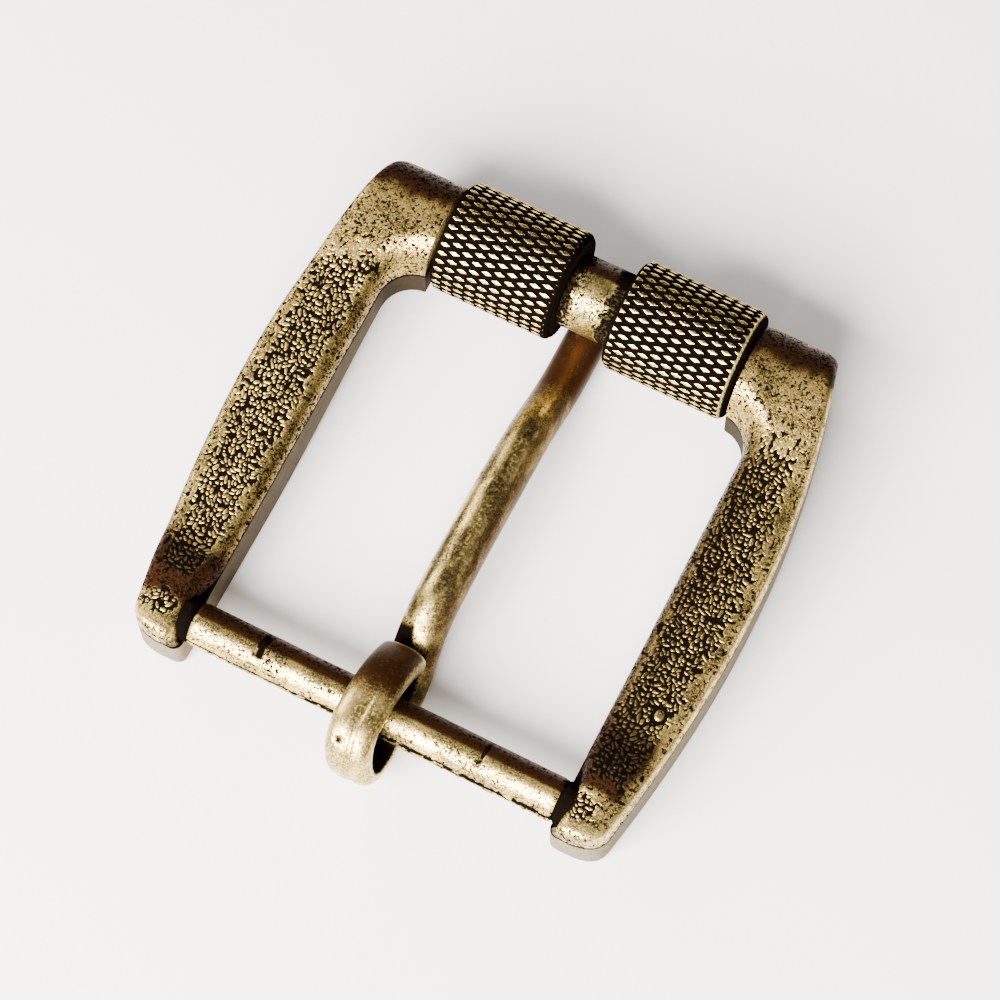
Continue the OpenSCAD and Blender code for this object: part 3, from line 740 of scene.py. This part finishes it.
def prongSkin():
    # Rounded oblong across the middle line: x = w/2 |cos|^p, up = t/2 |sin|^p, and nothing inside the eye
    line = prongRows()
    ahead = np.concatenate([line[1:], line[-1:]])[:, 1:3] - np.concatenate([line[:1], line[:-1]])[:, 1:3]
    ahead /= np.linalg.norm(ahead, axis=1, keepdims=True)
    a = (np.arange(84) + 0.5) / 84 * 2 * np.pi
    p = mix(1, 0.8, smooth((line[:, 3:4] / line[:, 4:5] - 1.1) / 0.5))
    wide = line[:, 3:4] / 2 * np.sign(np.cos(a)) * np.abs(np.cos(a)) ** p
    tall = line[:, 4:5] / 2 * np.sign(np.sin(a)) * np.abs(np.sin(a)) ** p
    x = line[:, 0:1] + wide
    y = line[:, 1:2] - ahead[:, 1:2] * tall
    z = line[:, 2:3] + ahead[:, 0:1] * tall
    # The curl's outer face has a shallow crease along it, and a small cut
    outward = smooth(np.sin(a)[None, :] * 3) * smooth((3.0 - line[:, 1:2]) / 3)
    bent = smooth((line[:, 2:3] + 3.0) / 2) * smooth((1.5 - line[:, 1:2]) / 2)
    crease = 0.22 * ridge(wide - 0.45 + 0.2 * rolling(line[:, 2:3], 0, 3), 0.3) * outward * bent
    nick = 0.25 * ridge(wide + 0.9 - 0.6 * (line[:, 2:3] - 3.0), 0.4) * ridge(line[:, 2:3] - 3.0, 0.16)
    nick = nick * outward * smooth(-1 - line[:, 1:2])
    y, z = y + ahead[:, 1:2] * (crease + nick), z - ahead[:, 0:1] * (crease + nick)
    reach = np.hypot(y, z)
    push = np.where(reach < prong["eyeR"], prong["eyeR"] / np.maximum(reach, 1e-6), 1)
    y, z = y * push, z * push
    stepY, stepZ = (np.diff(line[:, i], prepend=line[0, i]) for i in (1, 2))
    length = np.cumsum(np.hypot(stepY, stepZ))
    along = np.broadcast_to(length[:, None], x.shape)
    rows = np.stack([x, y, z + buckle["heelHeight"]], -1)
    curl = smooth((along - 52.0) / 6)
    # Black painted shade inside the curl, and painted shadow round its end on the shank
    inner = smooth((-np.sin(a)[None, :] - 0.05) / 0.45)
    reachLeft = 9.0 + 1.6 * smooth((0.6 - wide) / 1.6) + 0.8 * rolling(wide / 0.7, line[:, 1:2] / 0.7, 5)
    tuckShade = inner * smooth((reachLeft - line[:, 1:2]) / 1.5)
    tuckShade = tuckShade * mix(smooth((1.9 - wide) / 0.8), 1, smooth((3 - line[:, 1:2]) / 3))
    eye = np.maximum(smooth((prong["eyeR"] + 0.35 - reach) / 0.3), tuckShade)
    # Brown painted shade: along the right flank, as painted shadow near and under the roller bar toward the
    # tip, and on the curl's top, which faces back
    flank = smooth((np.cos(a)[None, :] - 0.1) / 0.6) * (1 - curl)
    far = smooth((line[:, 1:2] - 33) / 8) * np.ones_like(x)
    over = smooth((line[:, 1:2] + 2.4) / 4.0) * curl * smooth((line[:, 2:3] - 0.3) / 0.8)
    over = over * mix(0.6, 1, smooth((2.35 - wide) / 0.5))
    marks = dict(eye=eye, curl=curl, brownShade=np.maximum(np.maximum(0.7 * flank, far), over), nick=nick * 4)
    return closeEnds(rows, marks, 4)


def prongLook(name):
    # Brown-gold brass with worn clouds, fine black specks, brown painted shade on the right flank, on the
    # curl's top and as painted shadow near and under the roller bar, and black painted shade inside the eye and
    # round the curl's end
    material, tree, shader, place = newBrass(name)
    eye, curl = mark(place, "eye"), mark(place, "curl")
    cloud = place.stretched(1.0, 0.4, 1.0).grain(1.6, 3.0, 0.65)
    fine = place.grain(0.16, 2.0, 0.6)
    pitted = place.grain(0.28, 3.0, 0.65, 0.4)
    gold = cloud.step(0.40, 0.66).tint(brassLook["olive"], brassLook["gold"])
    gold = fine.step(0.42, 0.68).tint(gold, brassLook["cream"])
    brownShaded = mark(place, "brownShade")
    gold = ((cloud.step(0.62, 0.42) * 0.55 + 0.12) * (1.0 - 0.75 * curl)).tint(gold, brassLook["umber"])
    # brown painted shade and painted shadow
    brown = (brownShaded + 0.9 * (pitted - 0.5)).step(0.05, 1.0)
    gold = brown.tint(gold, brassLook["brown"])
    pits = pitted.step(0.46, 0.40) * 0.7 * (1 - 0.25 * curl) * (1 - 0.6 * brown)
    # black painted shade inside the eye and round the curl's end
    dark = (pits + eye + mark(place, "nick")).step(0.0, 0.95)
    colour = dark.tint(gold, brassLook["black"])
    rough = 0.25 + 0.3 * dark + 0.1 * fine + 0.1 * brown
    metal = (1.0 - dark) * (1.0 - 0.3 * brown)
    finishBrass(tree, shader, colour, rough, metal, fine * 0.3 + pitted * 0.8, 0.03)
    return material


rows, marks = prongSkin()
prongPiece = makePiece("prong_bent", rows, marks, 60)
standFor(prongPiece, "prong", "prong", prongLook("prong_brass"))
print("buckle dressed")


# ---- stage ----

view = dict(azimuth=28.34, elevation=67.99, roll=-1.20, distance=350.0, target=(0.58, 1.85, 5.1), lens=124.14)
studio = dict(
    # each lamp: direction, distance in m, size in m, power in W, colour
    frontBox=((-0.16, -0.81, 0.60), 0.55, (0.52, 0.36), 34.0, (1.0, 0.985, 0.95)),
    leftBox=((-0.85, 0.25, 0.55), 0.6, (0.3, 0.3), 3.0, (1.0, 0.98, 0.96)),
    floorColour=(0.86, 0.84, 0.82, 1),
    floorRough=0.9,
    roomStrength=0.85,
    roomFront=(1.0, 0.985, 0.96),
    roomBack=(0.03, 0.028, 0.026),
)


def placeCamera():
    # The camera looks at the target from the azimuth and elevation, rolled about its own line of sight
    az, el, roll = (math.radians(view[k]) for k in ("azimuth", "elevation", "roll"))
    back = Vector((math.sin(az) * math.cos(el), -math.cos(az) * math.cos(el), math.sin(el)))
    right = Vector((math.cos(az), math.sin(az), 0))
    up = back.cross(right)
    across = right * math.cos(roll) + up * math.sin(roll)
    upward = up * math.cos(roll) - right * math.sin(roll)
    data = bpy.data.cameras.new("camera")
    data.lens, data.sensor_width = view["lens"], 36.0
    data.clip_start, data.clip_end = 0.01, 5.0
    camera = bpy.data.objects.new("camera", data)
    turn = Matrix((across, upward, back)).transposed()
    place = (Vector(view["target"]) + back * view["distance"]) * 0.001
    camera.matrix_world = Matrix.Translation(place) @ turn.to_4x4()
    bpy.context.scene.collection.objects.link(camera)
    bpy.context.scene.camera = camera


def softBox(name, direction, distance, size, power, colour):
    # A square lamp that faces the buckle from the direction
    data = bpy.data.lights.new(name, "AREA")
    data.shape, data.size, data.size_y = "RECTANGLE", size[0], size[1]
    data.energy, data.color = power, colour
    lamp = bpy.data.objects.new(name, data)
    towards = Vector(direction).normalized()
    lamp.location = towards * distance
    lamp.rotation_euler = towards.to_track_quat("Z", "Y").to_euler()
    bpy.context.scene.collection.objects.link(lamp)


def makeFloor():
    mesh = bpy.data.meshes.new("floor")
    mesh.from_pydata([(-3, -3, 0), (3, -3, 0), (3, 3, 0), (-3, 3, 0)], [], [(0, 1, 2, 3)])
    floor = bpy.data.objects.new("floor", mesh)
    bpy.context.scene.collection.objects.link(floor)
    material = bpy.data.materials.new("pale_floor")
    material.use_nodes = True
    shader = material.node_tree.nodes["Principled BSDF"]
    shader.inputs["Base Color"].default_value = studio["floorColour"]
    shader.inputs["Roughness"].default_value = studio["floorRough"]
    mesh.materials.append(material)


def makeWorld():
    world = bpy.data.worlds.new("studio")
    bpy.context.scene.world = world
    world.use_nodes = True
    tree = world.node_tree
    tree.nodes.clear()
    start = Wire(tree, None)
    direction = start.node("ShaderNodeTexCoord", None, None, "Generated")
    frontness = start.node("ShaderNodeSeparateXYZ", None, {0: direction}, 1)
    shade = frontness.step(0.30, -0.45).tint(studio["roomBack"], studio["roomFront"])
    light = shade.node("ShaderNodeBackground", None, {"Color": shade, "Strength": studio["roomStrength"]}, 0)
    output = tree.nodes.new("ShaderNodeOutputWorld")
    tree.links.new(light.socket, output.inputs[0])


placeCamera()
makeFloor()
makeWorld()
softBox("front_box", *studio["frontBox"])
softBox("left_box", *studio["leftBox"])
print("stage set")
